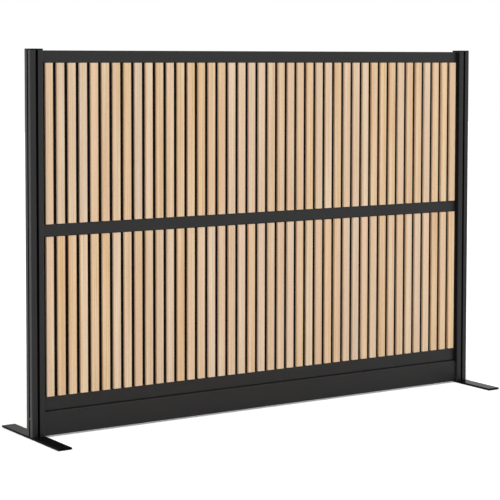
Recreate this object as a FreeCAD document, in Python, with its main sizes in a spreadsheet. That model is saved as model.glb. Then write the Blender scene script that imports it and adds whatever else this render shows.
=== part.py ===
import FreeCAD, Part
import os
import re
import Sketcher

# A free-standing slatted wall. X runs along the wall, Y through it with the front at -Y, Z up.
# The origin is on the floor, under the middle of the wall.

doc = FreeCAD.newDocument("slatted_wall")

# Driving sizes in millimetres: name, value or formula, what it measures
SIZES = [
    ("overall_width", "1800", "across the outer sides of the posts"),
    ("tier_height", "513", "clear height between two rails"),
    ("pin_play", "0.15", "gap round a pin, bolt or plug in its bore"),
    ("seat_play", "0.2", "gap beside a flat piece in its housing"),
    ("overrun", "5", "how far a cut starts outside the piece"),

    ("post_side", "45", "side of the square post profile"),
    ("post_corner", "4", "radius of the post's four corners"),
    ("post_stand_over", "1", "how far the post stands above the top rail"),
    ("post_core", "17", "solid core between two opposite slots"),
    ("slot_opening", "8.2", "mouth of each T-slot"),
    ("slot_mouth_chamfer", "0.6", "lead-in at the mouth"),
    ("slot_lip", "4.5", "thickness of the lips beside the mouth"),
    ("slot_side_land", "11.5", "from the T-slot's cavity to the post's side"),
    ("slot_shoulder", "2.5", "straight depth of the cavity behind the lips"),
    ("slot_floor", "11", "width of the slot's floor"),
    ("core_bore", "8.5", "bore down the middle of the post"),
    ("corner_wall", "2.5", "wall outside the hollow in each corner of the post"),
    ("corner_hollow", "6.3", "side of that hollow"),
    ("corner_hollow_bevel", "1.5", "bevel on the hollow's inner corner"),

    ("cap_thickness", "4.5", "plate of the post cap"),
    ("cap_edge", "1", "chamfer round the cap's top edge"),
    ("cap_plug_length", "14", "plug under the cap"),

    ("foot_length", "408", "steel bar, front to back"),
    ("foot_width", "48", "steel bar, along the wall"),
    ("foot_thickness", "6", "steel bar"),
    ("foot_edge", "0.8", "chamfer round the top of the bar"),
    ("foot_pad_thickness", "2", "rubber pad under the bar"),
    ("foot_pad_length", "40", "rubber pad, front to back"),
    ("foot_pad_margin", "5", "from the bar's edges to the pads"),
    ("foot_pad_count", "4", "pads under one foot"),
    ("foot_bolt_head", "17", "countersunk head, across its top"),
    ("foot_bolt_cone", "4.3", "height of the countersunk head"),
    ("foot_bolt_sunk", "0.5", "how far the head lies inside the bar"),
    ("foot_bolt_stop", "24", "from the bolt's tip up to the barrel bolt's axis"),
    ("foot_key_reach", "12", "how far a key goes up into the post"),
    ("foot_key_sunk", "0.5", "how far a key's end lies inside the bar"),

    ("kick_floor_gap", "6", "under the kickboard"),
    ("kick_height", "78", "kickboard"),
    ("kick_depth", "25", "kickboard, front to back"),
    ("kick_wall", "2", "wall of the kickboard's tube"),
    ("kick_corner", "2", "outer corner radius of the tube"),
    ("kick_end_gap", "2", "between the kickboard's end and the post"),
    ("kick_bolt_drop", "20", "from the kickboard's top down to the barrel bolt's axis"),
    ("kick_bolt_shank", "5", "across the shank"),
    ("kick_bolt_recess", "2", "from the post's face in to the barrel head"),
    ("kick_bolt_grip", "16", "how far the shank goes into the end block"),
    ("kick_block_length", "30", "end block inside the kickboard"),
    ("kick_key_margin", "8", "from the kickboard's edges to the key's ends"),
    ("kick_key_inset", "1.5", "from the kickboard's faces to the key's sides"),
    ("kick_key_stop", "4", "from the key's tongue to the slot's floor"),
    ("reveal", "4", "shadow gap between kickboard and bottom rail"),
    ("reveal_strip_depth", "5", "rubber strip that closes the gap, front to back"),

    ("bottom_rail_chamber", "29", "height inside the bottom rail"),
    ("mid_rail_chamber", "14", "height inside the mid rail"),
    ("top_rail_chamber", "24", "height inside the top rail"),
    ("rail_wall", "2", "walls and web of a rail"),
    ("rail_cheek", "2.9", "rail beside the board's groove"),
    ("rail_groove", "11", "depth of the groove that takes the board"),

    ("board_play", "0.1", "gap beside the board in the rail's groove"),
    ("board_top_play", "1", "room for the board to swell upwards"),
    ("board_slot_stop", "5", "from the board's edge to the post slot's floor"),
    ("seal_wall", "0.9", "seal inside the slot"),
    ("seal_lip", "2", "seal outside the slot, along the wall"),
    ("seal_lip_stand", "4", "seal outside the slot, out from the board"),

    ("slat_width", "25.5", "slat"),
    ("slat_thickness", "11", "slat"),
    ("slat_gap", "15", "between two slats"),
    ("slat_side_gap", "2", "least gap between a slat and the seal"),
    ("slat_end_gap", "0.5", "between a slat's end and the rail"),
    ("slat_chamfer", "1", "along the slat's two outer edges"),

    ("connector_reach", "40", "connector's tongue inside its rail"),
    ("connector_head_play", "2", "between the T-head's end and the side of the cavity"),
    ("connector_head_thickness", "3.5", "T-head behind the lips"),
    ("rail_screw", "5", "grub screw, across"),
    ("rail_screw_inset", "20", "from the post to the grub screw's axis"),
    ("rail_screw_sunk", "0.2", "how far the grub screw lies inside the rail's back"),

    ("clear_width", "=overall_width - 2 * post_side", "between the posts"),
    ("post_axis", "=(overall_width - post_side) / 2", "from the middle of the wall to a post's axis"),
    ("slot_depth", "=(post_side - post_core) / 2", "from the post's face to the slot's floor"),
    ("slot_cavity", "=post_side - 2 * slot_side_land", "widest part of the T-slot"),
    ("foot_top", "=foot_pad_thickness + foot_thickness", "where the post stands"),
    ("kick_bolt_height", "=kick_floor_gap + kick_height - kick_bolt_drop", "axis of the barrel bolt"),
    ("board_thickness", "=slot_opening - 2 * (seal_wall + seat_play)", "board behind the slats"),
    ("board_slot_entry", "=slot_depth - board_slot_stop", "board inside the post's slot"),
    ("rail_depth", "=board_thickness + 2 * (board_play + rail_cheek)", "rail, front to back"),
    ("chamber_depth", "=rail_depth - 2 * rail_wall", "inside the rail, front to back"),
    ("bottom_rail_height", "=bottom_rail_chamber + 2 * rail_wall + rail_groove", "bottom rail"),
    ("mid_rail_height", "=mid_rail_chamber + 2 * (rail_wall + rail_groove)", "mid rail"),
    ("top_rail_height", "=top_rail_chamber + 2 * rail_wall + rail_groove", "top rail"),
    ("bottom_rail_base", "=kick_floor_gap + kick_height + reveal", "underside of the bottom rail"),
    ("lower_tier_base", "=bottom_rail_base + bottom_rail_height", "top of the bottom rail"),
    ("mid_rail_base", "=lower_tier_base + tier_height", "underside of the mid rail"),
    ("upper_tier_base", "=mid_rail_base + mid_rail_height", "top of the mid rail"),
    ("top_rail_base", "=upper_tier_base + tier_height", "underside of the top rail"),
    ("post_top", "=top_rail_base + top_rail_height + post_stand_over", "top of the post"),
    ("slat_pitch", "=slat_width + slat_gap", "from one slat to the next"),
    ("slat_room", "=clear_width - 2 * (seal_lip + slat_side_gap)", "where slats may stand"),
    ("slat_count", "=floor((slat_room + slat_gap) / slat_pitch)", "slats in one tier"),
    ("slat_run", "=(slat_count - 1) * slat_pitch", "from the first slat's axis to the last's"),
]

# Edges whose ends differ by less than this run along an axis
SAME = 1e-6

sheet = doc.addObject("Spreadsheet::Sheet", "Sizes")
for row, (alias, content, note) in enumerate(SIZES, 1):
    sheet.set(f"A{row}", alias)
    sheet.set(f"B{row}", content)
    sheet.setAlias(f"B{row}", alias)
    sheet.set(f"C{row}", note)
doc.recompute()

ALIASES = {alias for alias, content, note in SIZES}
pieces = []


def tie(formula):
    """A formula in the sheet's names, as an expression that other objects can follow."""
    words = re.split(r"(\w+)", formula)
    return "".join(f"Sizes.{word}" if word in ALIASES else word for word in words)


def number(formula):
    """What a formula is worth now, to start a sketch near its final form."""
    return float(sheet.evalExpression(formula))


def spot(x="0", y="0", z="0"):
    """A place given by three formulas."""
    return {"Placement.Base.x": x, "Placement.Base.y": y, "Placement.Base.z": z}


def drive(item, formulas):
    """Tie several properties of one object to the sheet."""
    for prop, formula in formulas.items():
        item.setExpression(prop, tie(formula))


def new_body(name, place, turn=None):
    """A body with its own label and place, turned first if a rotation is given."""
    body = doc.addObject("PartDesign::Body", name)
    body.Label = name
    body.AllowCompound = True
    if turn is not None:
        body.Placement = FreeCAD.Placement(FreeCAD.Vector(), turn)
    drive(body, place)
    pieces.append(body)
    return body


def origin_item(body, role):
    """One of the body's own origin planes or axes."""
    return next(item for item in body.Origin.OriginFeatures if item.Role == role)


def new_sketch(body, name, plane, lift="0"):
    """A sketch on one of the body's own planes, lifted along the plane's normal."""
    sketch = body.newObject("Sketcher::SketchObject", name)
    sketch.AttachmentSupport = (origin_item(body, plane), [""])
    sketch.MapMode = "FlatFace"
    drive(sketch, {"AttachmentOffset.Base.z": lift})
    return sketch


def fix_point(sketch, geometry, point, x, y):
    """Hold one point of a sketch at two formulas, measured from the sketch's origin."""
    for kind, formula in (("DistanceX", x), ("DistanceY", y)):
        index = sketch.addConstraint(Sketcher.Constraint(kind, -1, 1, geometry, point, number(formula)))
        sketch.setExpression(f"Constraints[{index}]", tie(formula))


def add_outline(sketch, corners):
    """A closed outline of straight sides through corners given as pairs of formulas."""
    first = len(sketch.Geometry)
    places = [FreeCAD.Vector(number(x), number(y), 0) for x, y in corners]
    count = len(places)
    for index in range(count):
        sketch.addGeometry(Part.LineSegment(places[index], places[(index + 1) % count]))
    for index in range(count):
        following = first + (index + 1) % count
        sketch.addConstraint(Sketcher.Constraint("Coincident", first + index, 2, following, 1))
    for index, (x, y) in enumerate(corners):
        fix_point(sketch, first + index, 1, x, y)


def add_rectangle(sketch, left, low, right, high):
    """A rectangle between two opposite corners."""
    add_outline(sketch, [(left, low), (right, low), (right, high), (left, high)])


def add_circle(sketch, x, y, diameter):
    """A circle held by its centre and diameter."""
    centre = FreeCAD.Vector(number(x), number(y), 0)
    circle = sketch.addGeometry(Part.Circle(centre, FreeCAD.Vector(0, 0, 1), number(diameter) / 2))
    fix_point(sketch, circle, 3, x, y)
    index = sketch.addConstraint(Sketcher.Constraint("Diameter", circle, number(diameter)))
    sketch.setExpression(f"Constraints[{index}]", tie(diameter))


def pad(body, sketch, length, reverse=False):
    """Raise a sketch by a length."""
    feature = body.newObject("PartDesign::Pad", sketch.Name + "_pad")
    feature.Profile = sketch
    feature.Reversed = reverse
    drive(feature, {"Length": length})
    body.Tip = feature
    doc.recompute()
    return feature


def pocket(body, sketch, length=None, reverse=False, both_ways=False):
    """Sink a sketch by a length, or right through when none is given."""
    before = body.Shape.Volume
    feature = body.newObject("PartDesign::Pocket", sketch.Name + "_pocket")
    feature.Profile = sketch
    feature.Reversed = reverse
    if both_ways:
        feature.SideType = "Symmetric"
    if length is None:
        feature.Type = "ThroughAll"
    else:
        drive(feature, {"Length": length})
    body.Tip = feature
    doc.recompute()
    if not body.Shape.Volume < before:
        raise ValueError(f"{feature.Name} cuts nothing")
    return feature


def spin(body, sketch, kind):
    """Add or remove the round form that a half section makes about the body's Z axis."""
    feature = body.newObject(f"PartDesign::{kind}", f"{sketch.Name}_{kind.lower()}")
    feature.Profile = sketch
    feature.ReferenceAxis = (origin_item(body, "Z_Axis"), [""])
    body.Tip = feature
    doc.recompute()
    return feature


def four_round(body, feature):
    """Repeat a feature on the four sides of the post."""
    pattern = body.newObject("PartDesign::PolarPattern", feature.Name + "_round")
    pattern.Originals = [feature]
    pattern.Axis = (origin_item(body, "Z_Axis"), [""])
    pattern.Angle = 360
    pattern.Occurrences = 4
    body.Tip = pattern
    doc.recompute()
    return pattern


def in_a_row(body, feature, axis, run, count):
    """Repeat a feature along one axis, over a run between the first and the last."""
    pattern = body.newObject("PartDesign::LinearPattern", feature.Name + "_row")
    pattern.Originals = [feature]
    pattern.Direction = (origin_item(body, axis), [""])
    drive(pattern, {"Length": run, "Occurrences": count})
    body.Tip = pattern
    doc.recompute()
    return pattern


def edges_where(body, test):
    """Names of the edges of a body's present form that pass a test."""
    return [f"Edge{index}" for index, edge in enumerate(body.Tip.Shape.Edges, 1) if test(edge)]


def runs_along(edge, axis):
    """Whether an edge is straight and runs along x, y or z."""
    ends = [vertex.Point for vertex in edge.Vertexes]
    if len(ends) != 2:
        return False
    span = ends[1] - ends[0]
    return all(abs(getattr(span, across)) < SAME for across in "xyz" if across != axis)


def lies_at(edge, height):
    """Whether all of an edge's ends are at one height in its body."""
    return all(abs(vertex.Point.z - height) < SAME for vertex in edge.Vertexes)


def soften(body, kind, edges, size_name, size):
    """A fillet or chamfer on named edges."""
    base = body.Tip
    feature = body.newObject(f"PartDesign::{kind}", f"{body.Name}_{kind.lower()}_{size}")
    feature.Base = (base, edges)
    drive(feature, {size_name: size})
    body.Tip = feature
    doc.recompute()
    return feature


def half(side):
    """A side name as the sign of its X."""
    return "-" if side == "left" else ""


def facing(side):
    """Pieces are drawn for the right end of the wall, and turned about Z for the left end."""
    return FreeCAD.Rotation(FreeCAD.Vector(0, 0, 1), 180 if side == "left" else 0)


def add_hollow(sketch, across, along, play="0"):
    """Outline of the post's corner hollow, or of what fits in it, in the corner two signs name."""
    near = f"post_side / 2 - corner_wall - corner_hollow + {play}"
    far = f"post_side / 2 - corner_wall - {play}"
    bevel = f"{near} + corner_hollow_bevel"
    corners = [(bevel, near), (far, near), (far, far), (near, far), (near, bevel)]
    add_outline(sketch, [(f"{across}({x})", f"{along}({y})") for x, y in corners])


def add_key_outlines(sketch, side, play="0"):
    """Outlines in two opposite corners, chosen so that one foot mirrors the other."""
    along = "-" if side == "left" else ""
    add_hollow(sketch, "", along, play)
    add_hollow(sketch, "-", "" if along else "-", play)


def mirrored(upper):
    """An outline's upper half, given from left to right, closed by its mirror image below."""
    return upper + [(x, f"-({y})") for x, y in reversed(upper)]


def make_post(side):
    """Square profile with a T-slot in each face, a core bore and a hollow in each corner."""
    name = f"post_{side}"
    body = new_body(name, spot(x=f"{half(side)}post_axis", z="foot_top"), facing(side))
    square = new_sketch(body, f"{name}_square", "XY_Plane")
    add_rectangle(square, "-post_side / 2", "-post_side / 2", "post_side / 2", "post_side / 2")
    pad(body, square, "post_top - foot_top")
    soften(body, "Fillet", edges_where(body, lambda edge: runs_along(edge, "z")), "Radius", "post_corner")

    slot = new_sketch(body, f"{name}_slot", "XY_Plane")
    mouth = "slot_opening / 2"
    lip = "post_side / 2 - slot_lip"
    add_outline(slot, mirrored([("post_core / 2", "slot_floor / 2"),
                                (f"{lip} - slot_shoulder", "slot_cavity / 2"),
                                (lip, "slot_cavity / 2"), (lip, mouth),
                                ("post_side / 2 - slot_mouth_chamfer", mouth),
                                ("post_side / 2", f"{mouth} + slot_mouth_chamfer"),
                                ("post_side / 2 + overrun", f"{mouth} + slot_mouth_chamfer")]))
    four_round(body, pocket(body, slot, reverse=True))

    core = new_sketch(body, f"{name}_core", "XY_Plane")
    add_circle(core, "0", "0", "core_bore")
    pocket(body, core, reverse=True)
    corner = new_sketch(body, f"{name}_corner", "XY_Plane")
    add_hollow(corner, "", "")
    four_round(body, pocket(body, corner, reverse=True))

    # The barrel bolt passes through the core, from the outer slot to the inner one
    bolt_way = new_sketch(body, f"{name}_bolt_way", "YZ_Plane")
    add_circle(bolt_way, "0", "kick_bolt_height - foot_top", "kick_bolt_shank + 2 * pin_play")
    pocket(body, bolt_way, both_ways=True)


def make_cap(side):
    """Moulded cap with a plug that grips the post's core bore."""
    name = f"cap_{side}"
    body = new_body(name, spot(x=f"{half(side)}post_axis", z="post_top"))
    plate = new_sketch(body, f"{name}_plate", "XY_Plane")
    add_rectangle(plate, "-post_side / 2", "-post_side / 2", "post_side / 2", "post_side / 2")
    pad(body, plate, "cap_thickness")
    soften(body, "Fillet", edges_where(body, lambda edge: runs_along(edge, "z")), "Radius", "post_corner")
    top = number("cap_thickness")
    soften(body, "Chamfer", edges_where(body, lambda edge: lies_at(edge, top)), "Size", "cap_edge")
    plug = new_sketch(body, f"{name}_plug", "XY_Plane")
    add_circle(plug, "0", "0", "core_bore - 2 * pin_play")
    pad(body, plug, "cap_plug_length", reverse=True)


def make_foot(side):
    """Flat steel bar with a chamfered top, a countersunk bolt hole and two key holes."""
    name = f"foot_{side}"
    body = new_body(name, spot(x=f"{half(side)}post_axis", z="foot_pad_thickness"), facing(side))
    bar = new_sketch(body, f"{name}_bar", "XY_Plane")
    add_rectangle(bar, "-foot_width / 2", "-foot_length / 2", "foot_width / 2", "foot_length / 2")
    pad(body, bar, "foot_thickness")
    top = number("foot_thickness")
    soften(body, "Chamfer", edges_where(body, lambda edge: lies_at(edge, top)), "Size", "foot_edge")

    bolt_hole = new_sketch(body, f"{name}_bolt_hole", "XZ_Plane")
    shank = "core_bore / 2"
    head = "foot_bolt_head / 2 + pin_play"
    add_outline(bolt_hole, [("0", "-overrun"), (head, "-overrun"), (head, "foot_bolt_sunk"),
                            (shank, "foot_bolt_sunk + foot_bolt_cone"), (shank, "foot_thickness + overrun"),
                            ("0", "foot_thickness + overrun")])
    spin(body, bolt_hole, "Groove")

    key_holes = new_sketch(body, f"{name}_key_holes", "XY_Plane")
    add_key_outlines(key_holes, side)
    pocket(body, key_holes, reverse=True)


def make_foot_pads(side):
    """Rubber pads stuck under one foot."""
    name = f"foot_pads_{side}"
    body = new_body(name, spot(x=f"{half(side)}post_axis"))
    flat = new_sketch(body, f"{name}_flat", "XY_Plane")
    add_rectangle(flat, "-foot_width / 2 + foot_pad_margin", "-foot_length / 2 + foot_pad_margin",
                  "foot_width / 2 - foot_pad_margin", "-foot_length / 2 + foot_pad_margin + foot_pad_length")
    first = pad(body, flat, "foot_pad_thickness")
    in_a_row(body, first, "Y_Axis", "foot_length - 2 * foot_pad_margin - foot_pad_length", "foot_pad_count")


def make_foot_bolt(side):
    """Countersunk bolt from under the foot up into the post's core bore."""
    name = f"foot_bolt_{side}"
    body = new_body(name, spot(x=f"{half(side)}post_axis", z="foot_pad_thickness + foot_bolt_sunk"))
    section = new_sketch(body, f"{name}_section", "XZ_Plane")
    shank = "core_bore / 2 - pin_play"
    tip = "kick_bolt_height - foot_bolt_stop - foot_pad_thickness - foot_bolt_sunk"
    add_outline(section, [("0", "0"), ("foot_bolt_head / 2", "0"), (shank, "foot_bolt_cone"), (shank, tip),
                          ("0", tip)])
    spin(body, section, "Revolution")


def make_foot_keys(side):
    """Two keys that stand in the bar and in the post's hollows, and keep the foot square to it."""
    name = f"foot_keys_{side}"
    body = new_body(name, spot(x=f"{half(side)}post_axis", z="foot_pad_thickness + foot_key_sunk"),
                    facing(side))
    section = new_sketch(body, f"{name}_section", "XY_Plane")
    add_key_outlines(section, side, "pin_play")
    pad(body, section, "foot_thickness - foot_key_sunk + foot_key_reach")


def make_rail(name, groove_below, groove_above):
    """Extruded rail: a closed chamber, and a groove for the board's edge below, above or both."""
    body = new_body(name, spot(x="-clear_width / 2", z=f"{name}_base"))
    section = new_sketch(body, f"{name}_section", "YZ_Plane")
    face = "rail_depth / 2"
    cheek = "board_thickness / 2 + board_play"
    height = f"{name}_height"
    outline = [("-" + face, "0")]
    if groove_below:
        outline += [(f"-({cheek})", "0"), (f"-({cheek})", "rail_groove"),
                    (cheek, "rail_groove"), (cheek, "0")]
    outline += [(face, "0"), (face, height)]
    if groove_above:
        floor = f"{height} - rail_groove"
        outline += [(cheek, height), (cheek, floor), (f"-({cheek})", floor), (f"-({cheek})", height)]
    outline += [("-" + face, height)]
    add_outline(section, outline)
    low = "rail_wall + rail_groove" if groove_below else "rail_wall"
    add_rectangle(section, "-chamber_depth / 2", low, "chamber_depth / 2", f"{low} + {name}_chamber")
    pad(body, section, "clear_width")

    holes = new_sketch(body, f"{name}_screw_holes", "XZ_Plane")
    for x in ("rail_screw_inset", "clear_width - rail_screw_inset"):
        add_circle(holes, x, f"{low} + {name}_chamber / 2", "rail_screw + 2 * pin_play")
    pocket(body, holes, "rail_depth")

    for side in ("left", "right"):
        make_connector(side, name, low)


def make_connector(side, rail, low):
    """T-head connector: its head hooks behind the slot's lips and its tongue fills the rail's chamber."""
    name = f"{rail}_connector_{side}"
    body = new_body(name, spot(x=f"{half(side)}clear_width / 2", z=f"{rail}_base + {low} + seat_play"),
                    facing(side))
    section = new_sketch(body, f"{name}_section", "XY_Plane")
    tongue = "chamber_depth / 2 - seat_play"
    neck = "slot_opening / 2 - seat_play"
    head = "slot_cavity / 2 - connector_head_play"
    head_end = "slot_lip + connector_head_thickness"
    add_outline(section, mirrored([("-connector_reach", tongue), ("0", tongue), ("0", neck),
                                   ("slot_lip", neck), ("slot_lip", head), (head_end, head)]))
    pad(body, section, f"{rail}_chamber - 2 * seat_play")


def make_rail_screws(side):
    """Three grub screws in the backs of the rails, which press on one end's connectors."""
    name = f"rail_screws_{side}"
    body = new_body(name, spot(x=f"{half(side)}(clear_width / 2 - rail_screw_inset)",
                               y="chamber_depth / 2 - seat_play"))
    section = new_sketch(body, f"{name}_section", "XZ_Plane")
    for middle in ("bottom_rail_base + rail_wall + bottom_rail_chamber / 2",
                   "mid_rail_base + mid_rail_height / 2",
                   "top_rail_base + rail_wall + rail_groove + top_rail_chamber / 2"):
        add_circle(section, "0", middle, "rail_screw")
    pad(body, section, "seat_play + rail_wall - rail_screw_sunk", reverse=True)


def make_kickboard():
    """Rectangular tube between the posts, just off the floor."""
    body = new_body("kickboard", spot(x="-clear_width / 2 + kick_end_gap", z="kick_floor_gap"))
    section = new_sketch(body, "kickboard_section", "YZ_Plane")
    add_rectangle(section, "-kick_depth / 2", "0", "kick_depth / 2", "kick_height")
    pad(body, section, "clear_width - 2 * kick_end_gap")
    soften(body, "Fillet", edges_where(body, lambda edge: runs_along(edge, "x")), "Radius", "kick_corner")
    inside = new_sketch(body, "kickboard_inside", "YZ_Plane")
    add_rectangle(inside, "-kick_depth / 2 + kick_wall", "kick_wall", "kick_depth / 2 - kick_wall",
                  "kick_height - kick_wall")
    pocket(body, inside, reverse=True)


def make_kick_block(side):
    """Block in the end of the kickboard that the barrel bolt screws into."""
    name = f"kick_block_{side}"
    body = new_body(name, spot(x=f"{half(side)}(clear_width / 2 - kick_end_gap)", z="kick_floor_gap"),
                    facing(side))
    section = new_sketch(body, f"{name}_section", "YZ_Plane")
    deep = "kick_depth / 2 - kick_wall - seat_play"
    add_rectangle(section, f"-({deep})", "kick_wall + seat_play", deep, "kick_height - kick_wall - seat_play")
    add_circle(section, "0", "kick_height - kick_bolt_drop", "kick_bolt_shank + 2 * pin_play")
    pad(body, section, "kick_block_length", reverse=True)


def make_kick_key(side):
    """Key between post and kickboard, its tongue in the post's inner slot."""
    name = f"kick_key_{side}"
    body = new_body(name, spot(x=f"{half(side)}clear_width / 2", z="kick_floor_gap + kick_key_margin"),
                    facing(side))
    section = new_sketch(body, f"{name}_section", "XY_Plane")
    plate = "kick_depth / 2 - kick_key_inset"
    tongue = "slot_opening / 2 - seat_play"
    add_outline(section, mirrored([("-kick_end_gap", plate), ("0", plate), ("0", tongue),
                                   ("slot_depth - kick_key_stop", tongue)]))
    pad(body, section, "kick_height - 2 * kick_key_margin")
    way = new_sketch(body, f"{name}_way", "YZ_Plane")
    add_circle(way, "0", "kick_height - kick_bolt_drop - kick_key_margin", "kick_bolt_shank + 2 * pin_play")
    pocket(body, way, both_ways=True)


def make_kick_bolt(side):
    """Barrel bolt, head on the floor of the outer slot, through the core and the key into the end block."""
    name = f"kick_bolt_{side}"
    outwards = FreeCAD.Rotation(FreeCAD.Vector(0, 1, 0), -90 if side == "left" else 90)
    body = new_body(name, spot(x=f"{half(side)}(post_axis + post_core / 2)", z="kick_bolt_height"), outwards)
    section = new_sketch(body, f"{name}_section", "XZ_Plane")
    shank = "kick_bolt_shank / 2"
    head = "slot_opening / 2 - seat_play"
    tip = "-(post_core + slot_depth + kick_end_gap + kick_bolt_grip)"
    head_end = "slot_depth - kick_bolt_recess"
    add_outline(section, [("0", tip), (shank, tip), (shank, "0"), (head, "0"), (head, head_end),
                          ("0", head_end)])
    spin(body, section, "Revolution")


def make_plain(name, length, width, height, place):
    """A plain rectangular piece from its sizes along X, Y and Z and its lowest corner's place."""
    piece = doc.addObject("Part::Box", name)
    piece.Label = name
    drive(piece, {"Length": length, "Width": width, "Height": height})
    drive(piece, place)
    pieces.append(piece)


def make_reveal_strip():
    """Rubber strip in the reveal, set back from both faces so that a shadow line shows."""
    make_plain("reveal_strip", "clear_width - 2 * kick_end_gap", "reveal_strip_depth", "reveal",
               spot("-clear_width / 2 + kick_end_gap", "-reveal_strip_depth / 2",
                    "kick_floor_gap + kick_height"))


def make_board(name, base):
    """Flat black board whose lower edge stands in one rail and whose upper edge is held by the next."""
    make_plain(name, "clear_width + 2 * board_slot_entry", "board_thickness",
               "tier_height + 2 * rail_groove - board_top_play",
               spot("-clear_width / 2 - board_slot_entry", "-board_thickness / 2", f"{base} - rail_groove"))


def make_seal(side, tier, base):
    """Rubber channel round the board's edge in the post's slot, with two lips against the post."""
    name = f"{tier}_seal_{side}"
    body = new_body(name, spot(x=f"{half(side)}clear_width / 2", z=base), facing(side))
    section = new_sketch(body, f"{name}_section", "XY_Plane")
    outer = "board_thickness / 2 + seal_wall"
    lip = "board_thickness / 2 + seal_lip_stand"
    add_outline(section, mirrored([("-seal_lip", lip), ("0", lip), ("0", outer),
                                   ("board_slot_entry + seal_wall", outer)]))
    pad(body, section, "tier_height")
    room = new_sketch(body, f"{name}_room", "XY_Plane")
    add_rectangle(room, "-seal_lip - overrun", "-board_thickness / 2",
                  "board_slot_entry", "board_thickness / 2")
    pocket(body, room, reverse=True)


def make_slats(face, tier, base):
    """A tier of upright slats glued to one face of the board, with their outer edges chamfered."""
    name = f"{tier}_{face}_slats"
    turn = FreeCAD.Rotation(FreeCAD.Vector(0, 0, 1), 0 if face == "front" else 180)
    body = new_body(name, spot(z=f"{base} + slat_end_gap"), turn)
    section = new_sketch(body, f"{name}_section", "XY_Plane")
    left = "-(slat_run + slat_width) / 2"
    right = "-(slat_run - slat_width) / 2"
    back = "-board_thickness / 2"
    front = "-board_thickness / 2 - slat_thickness"
    add_outline(section, [(left, back), (left, f"{front} + slat_chamfer"),
                          (f"{left} + slat_chamfer", front), (f"{right} - slat_chamfer", front),
                          (right, f"{front} + slat_chamfer"), (right, back)])
    first = pad(body, section, "tier_height - 2 * slat_end_gap")
    in_a_row(body, first, "X_Axis", "slat_run", "slat_count")


for side in ("left", "right"):
    make_post(side)
    make_cap(side)
    make_foot(side)
    make_foot_pads(side)
    make_foot_bolt(side)
    make_foot_keys(side)
    make_kick_block(side)
    make_kick_key(side)
    make_kick_bolt(side)
    make_rail_screws(side)

make_rail("bottom_rail", groove_below=False, groove_above=True)
make_rail("mid_rail", groove_below=True, groove_above=True)
make_rail("top_rail", groove_below=True, groove_above=False)
make_kickboard()
make_reveal_strip()

for tier in ("lower", "upper"):
    tier_base = f"{tier}_tier_base"
    make_board(f"{tier}_board", tier_base)
    for side in ("left", "right"):
        make_seal(side, tier, tier_base)
    for face in ("front", "back"):
        make_slats(face, tier, tier_base)

doc.recompute()

for item in doc.Objects:
    if "Invalid" in item.State or "Error" in item.State:
        raise ValueError(f"{item.Name} failed: {item.State}")
for piece in pieces:
    if piece.Shape.isNull() or not piece.Shape.isValid():
        raise ValueError(f"{piece.Label} has no valid shape")

os.makedirs("parts", exist_ok=True)
for piece in pieces:
    piece.Shape.exportStep(f"parts/{piece.Label}.step")
    print(piece.Label, len(piece.Shape.Solids), "solids")
print(len(pieces), "pieces")
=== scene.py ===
import math

import bmesh
import bpy
from mathutils import Matrix, Vector


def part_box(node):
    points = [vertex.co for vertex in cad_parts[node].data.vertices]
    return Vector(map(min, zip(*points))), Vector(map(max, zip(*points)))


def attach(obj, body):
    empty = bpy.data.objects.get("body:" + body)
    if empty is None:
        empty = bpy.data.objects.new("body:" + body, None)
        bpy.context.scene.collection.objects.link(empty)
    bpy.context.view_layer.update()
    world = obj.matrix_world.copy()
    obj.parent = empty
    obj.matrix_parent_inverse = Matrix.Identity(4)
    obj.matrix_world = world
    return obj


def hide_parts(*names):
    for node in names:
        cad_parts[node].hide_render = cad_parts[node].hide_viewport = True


bl_info = {
    "name": "Slatted wall",
    "version": (1, 0, 0),
    "blender": (4, 5, 0),
    "location": "3D View > Sidebar > Slatted wall",
    "description": "Dresses the free-standing slatted wall: "
                   "slats, posts, rails, feet, fasteners and stage",
    "category": "Object",
}

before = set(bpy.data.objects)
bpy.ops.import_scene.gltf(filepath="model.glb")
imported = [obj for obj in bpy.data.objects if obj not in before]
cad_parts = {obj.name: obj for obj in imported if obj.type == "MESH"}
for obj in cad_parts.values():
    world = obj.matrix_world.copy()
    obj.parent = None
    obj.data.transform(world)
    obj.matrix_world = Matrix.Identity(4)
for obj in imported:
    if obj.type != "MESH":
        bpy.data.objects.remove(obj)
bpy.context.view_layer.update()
MM = 0.001
ENDS = ("left", "right")
TIERS = ("lower", "upper")
RAILS = ("bottom_rail", "mid_rail", "top_rail")

# Points of a mesh that are closer than this are one point
WELD = 0.002 * MM
# Faces that meet at less than the first angle are one face, and those at more than the second
# meet in a sharp edge. Both are in radians.
FLAT = math.radians(0.5)
SHARP = 0.6
# Edges up to these lengths stay sharp, because they would hold back the radius of all the
# others: those round small holes, and those of a post's section, so that only its long edges
# are eased
HOLE_EDGE = 2 * MM
SECTION_EDGE = 20 * MM

# Depth of the sockets: as a share of the grub screw's length, as a share of the barrel bolt's
# head, and as it is in the foot bolt
GRUB_SOCKET = 0.7
BARREL_SOCKET = 0.6
FOOT_SOCKET = 3 * MM
QUARTER = math.pi / 2

# A wave texture of scale 1 repeats about every 0.314 units
WAVE = 0.314
# The colour sockets of a Mix node: its first and second input, and its output
FIRST, SECOND, MIXED = 6, 7, 2

# The camera, fitted to the edges of posts, rails, feet and slats: its place in metres, its
# angles in degrees, and its lens and film in millimetres
CAMERA_PLACE = (-3.243167, -4.825804, 1.215731)
CAMERA_TURN, CAMERA_DIP, CAMERA_ROLL = -33.4056, 3.4618, 0.1003
CAMERA_LENS, CAMERA_FILM, CAMERA_SHIFT = 121.625, 36, -0.180816
# How far the camera sees, and how far the floor goes each way, in metres
CAMERA_REACH = 60
FLOOR_REACH = 20
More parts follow.
